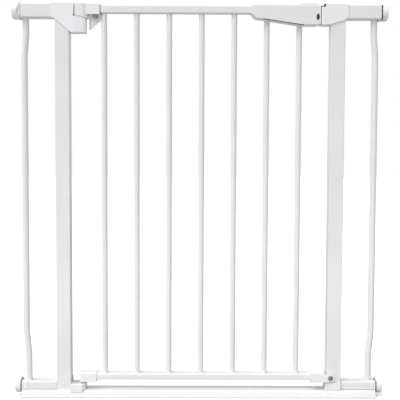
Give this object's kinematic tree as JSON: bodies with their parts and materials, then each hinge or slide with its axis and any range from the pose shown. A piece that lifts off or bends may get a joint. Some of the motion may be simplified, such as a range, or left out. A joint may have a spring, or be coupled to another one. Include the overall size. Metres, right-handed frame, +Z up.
{
  "type": "safety baby gate",
  "caption": "Pressure-fit walk-through safety gate: steel U frame with wall cups, barred door on a rising cam hinge, thumb-slide handle and fixed latch housing.",
  "frame": {"origin": "centre of the doorway width and of the frame depth, on the floor under the base bar", "axes": "+X across the doorway towards the latch side, +Y away from the side the door opens to, +Z up"},
  "size_m": [0.7232, 0.0442, 0.769],
  "materials": {
    "frame_enamel": "satin white enamel",
    "door_enamel": "satin white enamel",
    "white_plastic": "moulded white",
    "white_gloss": "moulded white, slight gloss",
    "grey_plastic": "moulded light grey",
    "zinc": "zinc plated",
    "screw_steel": "dark zinc",
    "black_rubber": "soft black",
    "green_lens": "dark green lens"
  },
  "bodies": {
    "frame": {"base_bar": "frame_enamel", "base_bar_plugs": "white_plastic", "left_post": "frame_enamel", "right_post": "frame_enamel", "top_rail_left": "frame_enamel", "top_rail_right": "frame_enamel", "bottom_stub_left": "frame_enamel", "bottom_stub_right": "frame_enamel", "side_tube_left": "frame_enamel", "side_tube_right": "frame_enamel", "end_plugs": "white_plastic", "hinge_housing": "white_gloss", "hinge_housing_cover": "white_plastic", "latch_housing": "white_gloss", "latch_housing_cover": "white_plastic", "housing_screws": "zinc", "lower_hinge_block": "white_plastic", "lower_hinge_bracket": "zinc", "post_foot_clip": "white_plastic"},
    "cam_riser": {"upper_hinge_pin": "zinc"},
    "door": {"door_top_rail": "door_enamel", "door_bottom_rail": "door_enamel", "door_bar_1": "door_enamel", "door_bar_2": "door_enamel", "door_bar_3": "door_enamel", "door_bar_4": "door_enamel", "door_bar_5": "door_enamel", "door_bar_6": "door_enamel", "door_bar_7": "door_enamel", "upper_hinge_arm": "white_gloss", "hinge_gusset": "grey_plastic", "arm_screws": "zinc", "door_corner_cap": "white_plastic", "lower_hinge_pin": "zinc", "hinge_washer": "grey_plastic", "handle_shell_front": "white_gloss", "handle_shell_back": "white_plastic", "handle_screws": "zinc", "indicator_lens": "green_lens", "door_foot_cap": "white_plastic", "stop_screw": "screw_steel", "stop_bumper": "black_rubber"},
    "thumb_slide": {"thumb_slide": "white_gloss"},
    "nut_upper_left": {"hand_nut_upper_left": "white_plastic"},
    "spindle_upper_left": {"spindle_upper_left": "zinc", "wall_pad_upper_left": "black_rubber", "wall_cup_upper_left": "white_plastic"},
    "nut_upper_right": {"hand_nut_upper_right": "white_plastic"},
    "spindle_upper_right": {"spindle_upper_right": "zinc", "wall_pad_upper_right": "black_rubber", "wall_cup_upper_right": "white_plastic"},
    "nut_lower_left": {"hand_nut_lower_left": "white_plastic"},
    "spindle_lower_left": {"spindle_lower_left": "zinc", "wall_pad_lower_left": "black_rubber", "wall_cup_lower_left": "white_plastic"},
    "nut_lower_right": {"hand_nut_lower_right": "white_plastic"},
    "spindle_lower_right": {"spindle_lower_right": "zinc", "wall_pad_lower_right": "black_rubber", "wall_cup_lower_right": "white_plastic"}
  },
  "joints": [
    {"name": "spindle_reach_upper_left", "type": "slide", "parent": "frame", "child": "spindle_upper_left", "axis": [-1, 0, 0], "range_m": [0, 0.03]},
    {"name": "nut_turn_upper_left", "type": "hinge", "parent": "frame", "child": "nut_upper_left", "pos_m": [-0.348, 0, 0.75235], "axis": [-1, 0, 0], "range_deg": [0, 3601]},
    {"name": "spindle_reach_upper_right", "type": "slide", "parent": "frame", "child": "spindle_upper_right", "axis": [1, 0, 0], "range_m": [0, 0.03]},
    {"name": "nut_turn_upper_right", "type": "hinge", "parent": "frame", "child": "nut_upper_right", "pos_m": [0.348, 0, 0.75235], "axis": [1, 0, 0], "range_deg": [0, 3601]},
    {"name": "spindle_reach_lower_left", "type": "slide", "parent": "frame", "child": "spindle_lower_left", "axis": [-1, 0, 0], "range_m": [0, 0.03]},
    {"name": "nut_turn_lower_left", "type": "hinge", "parent": "frame", "child": "nut_lower_left", "pos_m": [-0.348, 0, 0.0225], "axis": [-1, 0, 0], "range_deg": [0, 3601]},
    {"name": "spindle_reach_lower_right", "type": "slide", "parent": "frame", "child": "spindle_lower_right", "axis": [1, 0, 0], "range_m": [0, 0.03]},
    {"name": "nut_turn_lower_right", "type": "hinge", "parent": "frame", "child": "nut_lower_right", "pos_m": [0.348, 0, 0.0225], "axis": [1, 0, 0], "range_deg": [0, 3601]},
    {"name": "door_rise", "type": "slide", "parent": "frame", "child": "cam_riser", "axis": [0, 0, 1], "range_m": [0, 0.0056]},
    {"name": "door_swing", "type": "hinge", "parent": "cam_riser", "child": "door", "pos_m": [-0.229, 0, 0.75], "axis": [0, 0, -1], "range_deg": [0, 95]},
    {"name": "thumb_slide_lock", "type": "slide", "parent": "door", "child": "thumb_slide", "axis": [1, 0, 0], "range_m": [0, 0.007]}
  ],
  "couplings": [
    {"joint": "nut_turn_upper_left", "follows": "spindle_reach_upper_left", "rad_per_m": 2094.4},
    {"joint": "nut_turn_upper_right", "follows": "spindle_reach_upper_right", "rad_per_m": 2094.4},
    {"joint": "nut_turn_lower_left", "follows": "spindle_reach_lower_left", "rad_per_m": 2094.4},
    {"joint": "nut_turn_lower_right", "follows": "spindle_reach_lower_right", "rad_per_m": 2094.4},
    {"joint": "door_rise", "follows": "door_swing", "m_per_rad": 0.0032}
  ]
}
